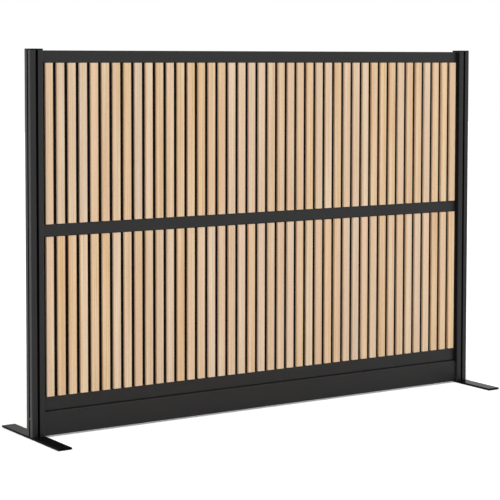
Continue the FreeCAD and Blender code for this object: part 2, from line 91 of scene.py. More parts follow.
# Each lamp's share of the key light, and its degrees round from the front and up. All of them
# are equally wide, in degrees.
LAMPS = {"key": (1, -52, 40), "fill": (0.4, 20, 50), "back": (0.35, 170, 50),
         "rim": (0.33, 122, 18)}
LAMP_SPREAD = 50


def linear(code):
    """A written sRGB colour as linear light."""
    parts = (int(code[at:at + 2], 16) / 255 for at in (1, 3, 5))
    return tuple(part / 12.92 if part <= 0.04045 else ((part + 0.055) / 1.055) ** 2.4
                 for part in parts)


def opaque(rgb):
    """A colour as a shader's socket takes it."""
    return (*rgb, 1)


def per(millimetres):
    """The texture scale at which a pattern repeats about every so many millimetres."""
    return 1000 / millimetres


def length(label, note, size):
    """A length that the user may change, written in millimetres."""
    return bpy.props.FloatProperty(name=label, description=note, default=size * MM, min=0,
                                   precision=5, subtype="DISTANCE", unit="LENGTH")


def colour(label, note, code):
    """A colour that the user may change."""
    return bpy.props.FloatVectorProperty(name=label, description=note, default=linear(code),
                                         min=0, max=1, size=3, subtype="COLOR")


def strength(label, note, share, **limits):
    """A strength of light that the user may change."""
    return bpy.props.FloatProperty(name=label, description=note, default=share, min=0, **limits)


class SlatSettings(bpy.types.PropertyGroup):
    count: bpy.props.IntProperty(name="Slats", description="Slats in one tier", default=42, min=2)
    width: length("Width", "Width of one slat", 25.5)
    arris: length("Arris", "Radius sanded on the slat's long edges", 1)
    seed: bpy.props.IntProperty(name="Seed", description="Which boards the slats were cut from",
                                default=7)
    early_wood: colour("Early wood", "Pale wood between the growth lines", "#F3DAB9")
    late_wood: colour("Late wood", "Darker wood of the growth lines", "#DCB588")
    heart: colour("Heartwood", "Pinkish streaks beside the pale wood", "#EAC5A6")
    pores: colour("Pores", "Short dark pores along the grain", "#C9A27A")


class FinishSettings(bpy.types.PropertyGroup):
    powder: colour("Powder coat", "Black powder coat of posts, rails and kickboard", "#141415")
    # Painted shade: the darker colour given to the faces inside the posts' slots
    slot_painted_shade: colour("Powder in the slots", "Thin, dull coat inside the posts' slots", "#080808")
    bar: colour("Foot coat", "Dull black powder coat of the steel bars", "#0A0A0B")
    plastic: colour("Cap plastic", "Black plastic of the post caps", "#060606")
    board: colour("Board", "Black-dyed fibreboard behind the slats", "#040404")
    rubber: colour("Rubber", "Black rubber of seals and pads", "#121212")
    zinc: colour("Zinc plate", "Plated screws and bolts", "#B8BBBE")
    aluminium: colour("Plain aluminium", "Connectors, keys and end blocks", "#C4C5C7")
    # How far under the posts' faces the painted shade of the slots begins
    painted_shade_start: length("Start of the slots", "How far under the posts' faces the thin coat begins",
                       1.5)
    easing: length("Eased edges", "Radius on the edges of posts, rails, caps, steel bars and pads",
                   0.4)


class FastenerSettings(bpy.types.PropertyGroup):
    grub_key: length("Grub screw key", "Across the flats of the grub screws' sockets", 2.5)
    barrel_key: length("Barrel bolt key", "Across the flats of the barrel bolts' sockets", 4)
    barrel_head: length("Barrel bolt head", "Length of the barrel bolts' heads", 7)
    barrel_shank: length("Barrel bolt shank", "Radius of the barrel bolts' shanks", 2.5)
    foot_key: length("Foot bolt key", "Across the flats of the foot bolts' sockets", 5)
    foot_shank: length("Foot bolt shank", "Radius of the foot bolts' shanks", 4.1)
    edge: length("Turned edge", "Chamfer on the ends of screws and bolts", 0.3)


class StageSettings(bpy.types.PropertyGroup):
    floor: colour("Floor", "Pale studio floor", "#F4F4F4")
    veil: strength("Floor veil", "White added to the floor for the camera only", 0.2, max=1)
    ambient: strength("Sky", "Strength of the even white surroundings", 0.635)
    key: strength("Key light", "Strength of the large soft lamp in front", 0.94)


def add(tree, kind, inputs=None, **settings):
    """A node with its settings, its inputs set to values or linked to other nodes' sockets."""
    node = tree.nodes.new(kind)
    for name, value in settings.items():
        setattr(node, name, value)
    for socket, value in (inputs or {}).items():
        if isinstance(value, bpy.types.NodeSocket):
            tree.links.new(value, node.inputs[socket])
        else:
            node.inputs[socket].default_value = value
    return node


# Polyester powder baked on extruded aluminium: near black, satin, with a faint orange peel
# and a fine grit in the gloss.
def powder_coated_aluminium(tree, place):
    settings = bpy.context.scene.wall_finishes
    peel = add(tree, "ShaderNodeTexNoise", {"Vector": place, "Scale": per(2.2), "Detail": 2})
    # The real grit is about 0.1 mm and is drawn at 0.5 mm so that it shows
    grit = add(tree, "ShaderNodeTexNoise", {"Vector": place, "Scale": per(0.5), "Detail": 1})
    cloud = add(tree, "ShaderNodeTexNoise", {"Vector": place, "Scale": per(140), "Detail": 3})
    rough = add(tree, "ShaderNodeMapRange",
                {"Value": cloud.outputs["Fac"], "To Min": 0.34, "To Max": 0.44})
    shade = add(tree, "ShaderNodeMapRange",
                {"Value": grit.outputs["Fac"], "From Min": 0.3, "From Max": 0.7,
                 "To Min": 0.85, "To Max": 1.15})
    tint = add(tree, "ShaderNodeVectorMath", {0: settings.powder, "Scale": shade.outputs[0]},
               operation="SCALE")
    first = add(tree, "ShaderNodeBump",
                {"Height": peel.outputs["Fac"], "Strength": 0.25, "Distance": 0.06 * MM})
    second = add(tree, "ShaderNodeBump",
                 {"Height": grit.outputs["Fac"], "Strength": 0.3, "Distance": 0.03 * MM,
                  "Normal": first.outputs[0]})
    return add(tree, "ShaderNodeBsdfPrincipled",
               {"Base Color": tint.outputs[0], "Roughness": rough.outputs[0],
                "Normal": second.outputs[0], "IOR": 1.5, "Specular IOR Level": 0.4})


# Painted shade in the slots of the extrusion: the faces inside them get a darker, rough and dull
# coat, so that the slots read as black lines.
def painted_shade_in_slots(tree, place):
    settings = bpy.context.scene.wall_finishes
    # The dusty skin is about 0.1 mm coarse and is drawn at 0.7 mm so that it shows
    dust = add(tree, "ShaderNodeTexNoise", {"Vector": place, "Scale": per(0.7), "Detail": 3})
    rough = add(tree, "ShaderNodeMapRange",
                {"Value": dust.outputs["Fac"], "To Min": 0.78, "To Max": 0.95})
    shade = add(tree, "ShaderNodeMapRange",
                {"Value": dust.outputs["Fac"], "From Min": 0.3, "From Max": 0.7,
                 "To Min": 0.7, "To Max": 1.3})
    tint = add(tree, "ShaderNodeVectorMath", {0: settings.slot_painted_shade, "Scale": shade.outputs[0]},
               operation="SCALE")
    bump = add(tree, "ShaderNodeBump",
               {"Height": dust.outputs["Fac"], "Strength": 0.3, "Distance": 0.05 * MM})
    return add(tree, "ShaderNodeBsdfPrincipled",
               {"Base Color": tint.outputs[0], "Roughness": rough.outputs[0],
                "Normal": bump.outputs[0], "IOR": 1.5, "Specular IOR Level": 0.12})


# Black powder coat on hot-rolled steel bar: thicker and smoother than on the extrusions but
# with little gloss, over the slow waviness of rolled steel.
def powder_coated_steel(tree, place):
    settings = bpy.context.scene.wall_finishes
    wave = add(tree, "ShaderNodeTexNoise", {"Vector": place, "Scale": per(26), "Detail": 2})
    # Dust specks in the coat are about 0.2 mm and are drawn at 0.9 mm so that they show
    speck = add(tree, "ShaderNodeTexNoise", {"Vector": place, "Scale": per(0.9), "Detail": 2})
    rough = add(tree, "ShaderNodeMapRange",
                {"Value": speck.outputs["Fac"], "From Min": 0.3, "From Max": 0.7,
                 "To Min": 0.25, "To Max": 0.35})
    shade = add(tree, "ShaderNodeMapRange",
                {"Value": wave.outputs["Fac"], "To Min": 0.8, "To Max": 1.2})
    tint = add(tree, "ShaderNodeVectorMath", {0: settings.bar, "Scale": shade.outputs[0]},
               operation="SCALE")
    first = add(tree, "ShaderNodeBump",
                {"Height": wave.outputs["Fac"], "Strength": 0.2, "Distance": 0.6 * MM})
    second = add(tree, "ShaderNodeBump",
                 {"Height": speck.outputs["Fac"], "Strength": 0.2, "Distance": 0.05 * MM,
                  "Normal": first.outputs[0]})
    return add(tree, "ShaderNodeBsdfPrincipled",
               {"Base Color": tint.outputs[0], "Roughness": rough.outputs[0],
                "Normal": second.outputs[0], "IOR": 1.5, "Specular IOR Level": 0.02})


# Injection-moulded nylon: matt, with the fine spark-eroded grain of the mould.
def moulded_nylon(tree, place):
    settings = bpy.context.scene.wall_finishes
    # The mould's grain is about 0.15 mm and is drawn at 0.6 mm so that it shows
    grain = add(tree, "ShaderNodeTexVoronoi", {"Vector": place, "Scale": per(0.6)})
    rough = add(tree, "ShaderNodeMapRange",
                {"Value": grain.outputs["Distance"], "To Min": 0.50, "To Max": 0.62})
    shade = add(tree, "ShaderNodeMapRange",
                {"Value": grain.outputs["Distance"], "To Min": 1.1, "To Max": 0.8})
    tint = add(tree, "ShaderNodeVectorMath", {0: settings.plastic, "Scale": shade.outputs[0]},
               operation="SCALE")
    bump = add(tree, "ShaderNodeBump",
               {"Height": grain.outputs["Distance"], "Strength": 0.35, "Distance": 0.06 * MM})
    return add(tree, "ShaderNodeBsdfPrincipled",
               {"Base Color": tint.outputs[0], "Roughness": rough.outputs[0],
                "Normal": bump.outputs[0], "IOR": 1.53, "Specular IOR Level": 0.12})


# Black-dyed fibreboard, sanded and left matt: the fibres show as a faint felted streak that
# runs upwards.
def black_dyed_fibreboard(tree, place):
    settings = bpy.context.scene.wall_finishes
    drawn = add(tree, "ShaderNodeMapping", {"Vector": place, "Scale": (1, 1, 0.05)})
    # The fibres are about 0.1 mm wide and are drawn at 1.2 mm so that they show
    fibre = add(tree, "ShaderNodeTexNoise",
                {"Vector": drawn.outputs[0], "Scale": per(1.2), "Detail": 3})
    rough = add(tree, "ShaderNodeMapRange",
                {"Value": fibre.outputs["Fac"], "To Min": 0.55, "To Max": 0.72})
    shade = add(tree, "ShaderNodeMapRange",
                {"Value": fibre.outputs["Fac"], "From Min": 0.3, "From Max": 0.7,
                 "To Min": 0.75, "To Max": 1.2})
    tint = add(tree, "ShaderNodeVectorMath", {0: settings.board, "Scale": shade.outputs[0]},
               operation="SCALE")
    bump = add(tree, "ShaderNodeBump",
               {"Height": fibre.outputs["Fac"], "Strength": 0.3, "Distance": 0.05 * MM})
    return add(tree, "ShaderNodeBsdfPrincipled",
               {"Base Color": tint.outputs[0], "Roughness": rough.outputs[0],
                "Normal": bump.outputs[0], "IOR": 1.5, "Specular IOR Level": 0.12})


# Extruded or moulded synthetic rubber: dull and slightly dusty, with a soft uneven skin.
def synthetic_rubber(tree, place):
    settings = bpy.context.scene.wall_finishes
    skin = add(tree, "ShaderNodeTexNoise", {"Vector": place, "Scale": per(1.5), "Detail": 4})
    rough = add(tree, "ShaderNodeMapRange",
                {"Value": skin.outputs["Fac"], "To Min": 0.68, "To Max": 0.88})
    shade = add(tree, "ShaderNodeMapRange",
                {"Value": skin.outputs["Fac"], "From Min": 0.3, "From Max": 0.7,
                 "To Min": 0.8, "To Max": 1.25})
    tint = add(tree, "ShaderNodeVectorMath", {0: settings.rubber, "Scale": shade.outputs[0]},
               operation="SCALE")
    bump = add(tree, "ShaderNodeBump",
               {"Height": skin.outputs["Fac"], "Strength": 0.3, "Distance": 0.1 * MM})
    return add(tree, "ShaderNodeBsdfPrincipled",
               {"Base Color": tint.outputs[0], "Roughness": rough.outputs[0],
                "Normal": bump.outputs[0], "IOR": 1.5})


# Zinc plate on machined steel: bright grey metal, clouded by the crystals of the plating.
def zinc_plated_steel(tree, place):
    settings = bpy.context.scene.wall_finishes
    # The crystals are far under 0.1 mm and are drawn at 0.7 mm so that they show
    cloud = add(tree, "ShaderNodeTexNoise", {"Vector": place, "Scale": per(0.7), "Detail": 3})
    rough = add(tree, "ShaderNodeMapRange",
                {"Value": cloud.outputs["Fac"], "To Min": 0.28, "To Max": 0.44})
    shade = add(tree, "ShaderNodeMapRange",
                {"Value": cloud.outputs["Fac"], "From Min": 0.3, "From Max": 0.7,
                 "To Min": 0.86, "To Max": 1.05})
    tint = add(tree, "ShaderNodeVectorMath", {0: settings.zinc, "Scale": shade.outputs[0]},
               operation="SCALE")
    bump = add(tree, "ShaderNodeBump",
               {"Height": cloud.outputs["Fac"], "Strength": 0.2, "Distance": 0.04 * MM})
    return add(tree, "ShaderNodeBsdfPrincipled",
               {"Base Color": tint.outputs[0], "Roughness": rough.outputs[0], "Metallic": 1,
                "Normal": bump.outputs[0]})


# Aluminium as it leaves the press: pale metal with fine straight die lines along its length.
def mill_finish_aluminium(tree, place):
    settings = bpy.context.scene.wall_finishes
    drawn = add(tree, "ShaderNodeMapping", {"Vector": place, "Scale": (1, 1, 0.03)})
    # Die lines are about 0.1 mm apart and are drawn at 0.6 mm so that they show
    lines = add(tree, "ShaderNodeTexNoise",
                {"Vector": drawn.outputs[0], "Scale": per(0.6), "Detail": 2})
    rough = add(tree, "ShaderNodeMapRange",
                {"Value": lines.outputs["Fac"], "To Min": 0.34, "To Max": 0.52})
    shade = add(tree, "ShaderNodeMapRange",
                {"Value": lines.outputs["Fac"], "From Min": 0.3, "From Max": 0.7,
                 "To Min": 0.88, "To Max": 1.04})
    tint = add(tree, "ShaderNodeVectorMath", {0: settings.aluminium, "Scale": shade.outputs[0]},
               operation="SCALE")
    bump = add(tree, "ShaderNodeBump",
               {"Height": lines.outputs["Fac"], "Strength": 0.25, "Distance": 0.03 * MM})
    return add(tree, "ShaderNodeBsdfPrincipled",
               {"Base Color": tint.outputs[0], "Roughness": rough.outputs[0], "Metallic": 1,
                "Normal": bump.outputs[0]})


# Ash planed along the grain and sealed with a matt clear oil: pale tan, straight growth lines
# a few millimetres apart, pinkish streaks, short open pores, and a slightly different tone for
# each slat.
def oiled_ash(tree, place):
    settings = bpy.context.scene.wall_slats
    board = add(tree, "ShaderNodeAttribute", attribute_name="slat_board").outputs["Vector"]
    # Each slat reads its own part of the grain
    shifted = add(tree, "ShaderNodeVectorMath", {0: board, 1: (0.9, 0.4, 3.1), 2: place},
                  operation="MULTIPLY_ADD")
    turned = add(tree, "ShaderNodeMapping",
                 {"Vector": shifted.outputs[0], "Rotation": (0, 0, 0.5), "Scale": (1, 1, 0.02)})
    streaked = add(tree, "ShaderNodeMapping",
                   {"Vector": shifted.outputs[0], "Scale": (1, 1, 0.05)})
    # Growth lines stand 3 to 6 mm apart and wander a little along the slat
    rings = add(tree, "ShaderNodeTexWave",
                {"Vector": turned.outputs[0], "Scale": WAVE * per(6), "Distortion": 6,
                 "Detail": 2, "Detail Scale": 0.9, "Detail Roughness": 0.55},
                wave_type="BANDS", bands_direction="X")
    drift = add(tree, "ShaderNodeTexNoise",
                {"Vector": turned.outputs[0], "Scale": per(11), "Detail": 3})
    heart = add(tree, "ShaderNodeTexNoise",
                {"Vector": turned.outputs[0], "Scale": per(16), "Detail": 2})
    # Pores are about 0.2 mm wide and are drawn at 0.6 mm so that they show
    pores = add(tree, "ShaderNodeTexNoise",
                {"Vector": streaked.outputs[0], "Scale": per(0.6), "Detail": 2})
    ring_share = add(tree, "ShaderNodeMapRange",
                     {"Value": rings.outputs["Fac"], "From Min": 0.3, "From Max": 1,
                      "To Max": 0.5}, interpolation_type="SMOOTHSTEP")
    drift_share = add(tree, "ShaderNodeMapRange",
                      {"Value": drift.outputs["Fac"], "From Min": 0.36, "From Max": 0.64,
                       "To Max": 0.62})
    share = add(tree, "ShaderNodeMath", {0: ring_share.outputs[0], 1: drift_share.outputs[0]},
                operation="ADD", use_clamp=True)
    wood = add(tree, "ShaderNodeMix",
               {"Factor": share.outputs[0], FIRST: opaque(settings.early_wood),
                SECOND: opaque(settings.late_wood)}, data_type="RGBA")
    heart_share = add(tree, "ShaderNodeMapRange",
                      {"Value": heart.outputs["Fac"], "From Min": 0.45, "From Max": 0.65,
                       "To Max": 0.8})
    warmed = add(tree, "ShaderNodeMix",
                 {"Factor": heart_share.outputs[0], FIRST: wood.outputs[MIXED],
                  SECOND: opaque(settings.heart)}, data_type="RGBA")
    pore_share = add(tree, "ShaderNodeMapRange",
                     {"Value": pores.outputs["Fac"], "From Min": 0.57, "From Max": 0.75,
                      "To Max": 0.55})
    pored = add(tree, "ShaderNodeMix",
                {"Factor": pore_share.outputs[0], FIRST: warmed.outputs[MIXED],
                 SECOND: opaque(settings.pores)}, data_type="RGBA")
    tone = add(tree, "ShaderNodeSeparateXYZ", {0: board})
    value = add(tree, "ShaderNodeMapRange",
                {"Value": tone.outputs["X"], "To Min": 0.965, "To Max": 1.03})
    warmth = add(tree, "ShaderNodeMapRange",
                 {"Value": tone.outputs["Y"], "To Min": 0.83, "To Max": 1.11})
    toned = add(tree, "ShaderNodeHueSaturation",
                {"Color": pored.outputs[MIXED], "Value": value.outputs[0],
                 "Saturation": warmth.outputs[0]})
    rough = add(tree, "ShaderNodeMapRange",
                {"Value": share.outputs[0], "To Min": 0.62, "To Max": 0.52})
    relief = add(tree, "ShaderNodeMath", {0: pore_share.outputs[0], 1: -1},
                 operation="MULTIPLY")
    bump = add(tree, "ShaderNodeBump",
               {"Height": relief.outputs[0], "Strength": 0.5, "Distance": 0.1 * MM})
    return add(tree, "ShaderNodeBsdfPrincipled",
               {"Base Color": toned.outputs[0], "Roughness": rough.outputs[0],
                "Normal": bump.outputs[0], "IOR": 1.5, "Specular IOR Level": 0.35})


def white_rays(tree):
    """1 for the camera's rays, and 1 for those and the rays off gloss and through glass."""
    rays = add(tree, "ShaderNodeLightPath")
    mirrored = add(tree, "ShaderNodeMath", {0: rays.outputs["Is Glossy Ray"],
                                            1: rays.outputs["Is Transmission Ray"]},
                   operation="MAXIMUM")
    seen = add(tree, "ShaderNodeMath", {0: rays.outputs["Is Camera Ray"],
                                        1: mirrored.outputs[0]}, operation="MAXIMUM")
    return rays.outputs["Is Camera Ray"], seen.outputs[0]


# Matt paint on a studio floor. What the camera and the object's gloss see of it is white, and
# other rays see pale grey.
def studio_floor(tree, place):
    settings = bpy.context.scene.wall_stage
    camera, seen = white_rays(tree)
    grain = add(tree, "ShaderNodeTexNoise", {"Vector": place, "Scale": per(30), "Detail": 3})
    rough = add(tree, "ShaderNodeMapRange",
                {"Value": grain.outputs["Fac"], "To Min": 0.9, "To Max": 1})
    paint = add(tree, "ShaderNodeMix",
                {"Factor": seen, FIRST: opaque(settings.floor), SECOND: (1, 1, 1, 1)},
                data_type="RGBA")
    shader = add(tree, "ShaderNodeBsdfDiffuse",
                 {"Color": paint.outputs[MIXED], "Roughness": rough.outputs[0]})
    # A little white that only the camera sees keeps the open floor plain white round a soft
    # shadow
    veil = add(tree, "ShaderNodeMath", {0: camera, 1: settings.veil}, operation="MULTIPLY")
    glow = add(tree, "ShaderNodeEmission",
               {"Color": (1, 1, 1, 1), "Strength": veil.outputs[0]})
    return add(tree, "ShaderNodeAddShader", {0: shader.outputs[0], 1: glow.outputs[0]})


FINISHES = {finish.__name__: finish for finish in (
    powder_coated_aluminium, painted_shade_in_slots, powder_coated_steel, moulded_nylon,
    black_dyed_fibreboard, synthetic_rubber, zinc_plated_steel, mill_finish_aluminium,
    oiled_ash, studio_floor)}


def material_of(finish):
    """The one material of a finish, made by its own function the first time it is asked for."""
    material = bpy.data.materials.get(finish)
    if not material:
        material = bpy.data.materials.new(finish)
        material.use_nodes = True
        tree = material.node_tree
        tree.nodes.clear()
        shader = FINISHES[finish](tree, add(tree, "ShaderNodeTexCoord").outputs["Object"])
        add(tree, "ShaderNodeOutputMaterial", {"Surface": shader.outputs[0]})
    return material


def finish_node(name, finish):
    """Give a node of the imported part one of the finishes."""
    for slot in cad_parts[name].material_slots:
        slot.material = material_of(finish)


def new_piece(name, data):
    """A new object at the origin, shown in the scene."""
    piece = bpy.data.objects.new(name, data)
    bpy.context.scene.collection.objects.link(piece)
    return piece


def flatten(piece):
    """Turn a piece's modifiers into plain mesh."""
    graph = bpy.context.evaluated_depsgraph_get()
    mesh = bpy.data.meshes.new_from_object(piece.evaluated_get(graph),
                                           preserve_all_data_layers=True, depsgraph=graph)
    piece.modifiers.clear()
    spent = piece.data
    piece.data = mesh
    bpy.data.meshes.remove(spent)
    if not len(mesh.polygons):
        raise ValueError(f"{piece.name} came out empty")


def stand_for(piece, node):
    """Let a piece ride on the wall in the place of one node."""
    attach(piece, "root")
    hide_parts(node)


def new_tree(name, inputs):
    """A geometry tree with named inputs, and the sockets that give them."""
    tree = bpy.data.node_groups.new(name, "GeometryNodeTree")
    tree.interface.new_socket("Geometry", in_out="OUTPUT", socket_type="NodeSocketGeometry")
    for label, kind in inputs.items():
        tree.interface.new_socket(label, in_out="INPUT", socket_type=f"NodeSocket{kind}")
    return tree, tree.nodes.new("NodeGroupInput").outputs


def end_tree(tree, geometry, material):
    """Close a geometry tree with plain mesh in one material."""
    real = add(tree, "GeometryNodeRealizeInstances", {"Geometry": geometry})
    painted = add(tree, "GeometryNodeSetMaterial",
                  {"Geometry": real.outputs[0], "Material": material})
    add(tree, "NodeGroupOutput", {"Geometry": painted.outputs[0]})


def grow(piece, tree, values):
    """Run a geometry tree on a piece with its inputs set, and keep the plain mesh."""
    modifier = piece.modifiers.new(tree.name, "NODES")
    modifier.node_group = tree
    identifiers = {item.name: item.identifier for item in tree.interface.items_tree
                   if item.in_out == "INPUT"}
    for label, value in values.items():
        modifier[identifiers[label]] = value
    flatten(piece)


def slat_tree():
    """A row of upright slats with rounded arrises, each marked with its own board."""
    tree, given = new_tree("Row of slats", {
        "Count": "Int", "Pitch": "Float", "First": "Vector", "Width": "Float",
        "Depth": "Float", "Height": "Float", "Arris": "Float", "Seed": "Int",
        "Material": "Material"})
    outline = add(tree, "GeometryNodeCurvePrimitiveQuadrilateral",
                  {"Width": given["Width"], "Height": given["Depth"]})
    rounded = add(tree, "GeometryNodeFilletCurve",
                  {"Curve": outline.outputs[0], "Count": 3, "Radius": given["Arris"],
                   "Limit Radius": True}, mode="POLY")
    top = add(tree, "ShaderNodeCombineXYZ", {"Z": given["Height"]})
    rise = add(tree, "GeometryNodeCurvePrimitiveLine", {"End": top.outputs[0]})
    slat = add(tree, "GeometryNodeCurveToMesh",
               {"Curve": rise.outputs[0], "Profile Curve": rounded.outputs[0],
                "Fill Caps": True})
    step = add(tree, "ShaderNodeCombineXYZ", {"X": given["Pitch"]})
    places = add(tree, "GeometryNodeMeshLine",
                 {"Count": given["Count"], "Start Location": given["First"],
                  "Offset": step.outputs[0]})
    row = add(tree, "GeometryNodeInstanceOnPoints",
              {"Points": places.outputs[0], "Instance": slat.outputs[0]})
    board = add(tree, "FunctionNodeRandomValue", {"Seed": given["Seed"]},
                data_type="FLOAT_VECTOR")
    marked = add(tree, "GeometryNodeStoreNamedAttribute",
                 {"Geometry": row.outputs[0], "Name": "slat_board",
                  "Value": board.outputs["Value"]}, data_type="FLOAT_VECTOR", domain="INSTANCE")
    end_tree(tree, marked.outputs[0], given["Material"])
    return tree


class WALL_OT_slats(bpy.types.Operator):
    """Make the four banks of upright slats, two on each face of the boards"""
    bl_idname = "slatted_wall.slats"
    bl_label = "Slats"

    def execute(self, context):
        settings = context.scene.wall_slats
        tree = slat_tree()
        banks = [f"{tier}_{face}_slats" for tier in TIERS for face in ("front", "back")]
        for number, node in enumerate(banks):
            low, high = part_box(node)
            bank = new_piece(f"{node}_ash", bpy.data.meshes.new(node))
            grow(bank, tree, {
                "Count": settings.count,
                "Pitch": (high.x - low.x - settings.width) / (settings.count - 1),
                "First": (low.x + settings.width / 2, (low.y + high.y) / 2, low.z),
                "Width": settings.width,
                "Depth": high.y - low.y,
                "Height": high.z - low.z,
                "Arris": settings.arris,
                "Seed": settings.seed + number,
                "Material": material_of("oiled_ash"),
            })
            stand_for(bank, node)
        return {"FINISHED"}


def ease_edges(node, radius, shortest):
    """A copy of a node with its sharp edges slightly rounded, but for the short ones."""
    mesh = bpy.data.meshes.new(f"{node}_eased")
    form = bmesh.new()
    form.from_mesh(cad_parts[node].data)
    bmesh.ops.remove_doubles(form, verts=form.verts, dist=WELD)
    bmesh.ops.dissolve_limit(form, angle_limit=FLAT, verts=form.verts, edges=form.edges)
    sharp = [edge for edge in form.edges if len(edge.link_faces) == 2
             and edge.calc_face_angle() > SHARP and edge.calc_length() > shortest]
    bmesh.ops.bevel(form, geom=sharp, offset=radius, segments=2, profile=0.5, affect="EDGES",
                    clamp_overlap=True)
    form.to_mesh(mesh)
    form.free()
    return new_piece(f"{node}_eased", mesh)


def dress(node, finish, shortest=HOLE_EDGE):
    """Put a copy of a node with eased edges in its place, in one of the finishes."""
    piece = ease_edges(node, bpy.context.scene.wall_finishes.easing, shortest)
    piece.data.materials.append(material_of(finish))
    stand_for(piece, node)
    return piece


class WALL_OT_rails(bpy.types.Operator):
    """Dress the three rails, with eased edges, and finish the kickboard"""
    bl_idname = "slatted_wall.rails"
    bl_label = "Rails and kickboard"

    def execute(self, context):
        for node in RAILS:
            dress(node, "powder_coated_aluminium")
        # The kickboard's corners are round already
        finish_node("kickboard", "powder_coated_aluminium")
        finish_node("reveal_strip", "synthetic_rubber")
        return {"FINISHED"}


class WALL_OT_posts(bpy.types.Operator):
    """Dress the slotted posts, with eased edges and painted shade inside the slots"""
    bl_idname = "slatted_wall.posts"
    bl_label = "Posts"

    def execute(self, context):
        start = context.scene.wall_finishes.painted_shade_start
        for end in ENDS:
            node = f"post_{end}"
            post = dress(node, "powder_coated_aluminium", SECTION_EDGE)
            post.data.materials.append(material_of("painted_shade_in_slots"))
            low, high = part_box(node)
            # Faces deeper than this under the post's outer faces take the painted shade of the
            # slots
            for face in post.data.polygons:
                middle = face.center
                depth = min(middle.x - low.x, high.x - middle.x,
                            middle.y - low.y, high.y - middle.y)
                face.material_index = int(depth > start)
        return {"FINISHED"}


class WALL_OT_caps(bpy.types.Operator):
    """Dress the moulded post caps, with rounded edges"""
    bl_idname = "slatted_wall.caps"
    bl_label = "Post caps"

    def execute(self, context):
        for end in ENDS:
            dress(f"cap_{end}", "moulded_nylon", shortest=0)
        return {"FINISHED"}


class WALL_OT_boards(bpy.types.Operator):
    """Finish the two boards behind the slats and the rubber seals at their ends"""
    bl_idname = "slatted_wall.boards"
    bl_label = "Boards and seals"

    def execute(self, context):
        for tier in TIERS:
            finish_node(f"{tier}_board", "black_dyed_fibreboard")
            for end in ENDS:
                finish_node(f"{tier}_seal_{end}", "synthetic_rubber")
        return {"FINISHED"}


class WALL_OT_feet(bpy.types.Operator):
    """Dress the steel bars and the rubber pads under them"""
    bl_idname = "slatted_wall.feet"
    bl_label = "Feet"

    def execute(self, context):
        for end in ENDS:
            dress(f"foot_{end}", "powder_coated_steel")
            dress(f"foot_pads_{end}", "synthetic_rubber", shortest=0)
        return {"FINISHED"}


def separate_boxes(node):
    """Lowest and highest corners of each separate solid of a node, from the lowest corner up."""
    form = bmesh.new()
    form.from_mesh(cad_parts[node].data)
    bmesh.ops.remove_doubles(form, verts=form.verts, dist=WELD)
    boxes, left = [], set(form.verts)
    while left:
        reached = [left.pop()]
        corners = []
        while reached:
            vertex = reached.pop()
            corners.append(vertex.co.copy())
            for edge in vertex.link_edges:
                other = edge.other_vert(vertex)
                if other in left:
                    left.remove(other)
                    reached.append(other)
        boxes.append([Vector(pick(corner[axis] for corner in corners) for axis in range(3))
                      for pick in (min, max)])
    form.free()
    return sorted(boxes, key=lambda box: (box[0].z, box[0].x, box[0].y))


def turned_blank(outline, steps=40):
    """A round blank from an outline of radii and heights, whose outer end is at height 0."""
    form = bmesh.new()
    corners = [form.verts.new((radius, 0, height)) for radius, height in outline]
    lines = [form.edges.new(pair) for pair in zip(corners, corners[1:])]
    bmesh.ops.spin(form, geom=corners + lines, cent=(0, 0, 0), axis=(0, 0, 1),
                   angle=math.tau, steps=steps)
    bmesh.ops.remove_doubles(form, verts=form.verts, dist=WELD)
    bmesh.ops.recalc_face_normals(form, faces=form.faces)
    mesh = bpy.data.meshes.new("blank")
    form.to_mesh(mesh)
    form.free()
    return new_piece("blank", mesh)


def socket_screw_tree():
    """Screws at a mesh's points, turned blanks with a hexagon socket in their outer end."""
    tree, given = new_tree("Socket screws", {
        "Places": "Geometry", "Blank": "Object", "Key": "Float", "Depth": "Float",
        "Turn": "Rotation", "Material": "Material"})
    blank = add(tree, "GeometryNodeObjectInfo", {"Object": given["Blank"]})
    # A hexagon's corner radius is its width across flats over the square root of three
    corner = add(tree, "ShaderNodeMath", {0: given["Key"], 1: math.sqrt(3)},
                 operation="DIVIDE")
    both_ways = add(tree, "ShaderNodeMath", {0: given["Depth"], 1: 2}, operation="MULTIPLY")
    hexagon = add(tree, "GeometryNodeMeshCylinder",
                  {"Vertices": 6, "Radius": corner.outputs[0], "Depth": both_ways.outputs[0]})
    screw = add(tree, "GeometryNodeMeshBoolean",
                {"Mesh 1": blank.outputs["Geometry"], "Mesh 2": hexagon.outputs[0]},
                operation="DIFFERENCE")
    placed = add(tree, "GeometryNodeInstanceOnPoints",
                 {"Points": given["Places"], "Instance": screw.outputs[0],
                  "Rotation": given["Turn"]})
    end_tree(tree, placed.outputs[0], given["Material"])
    return tree


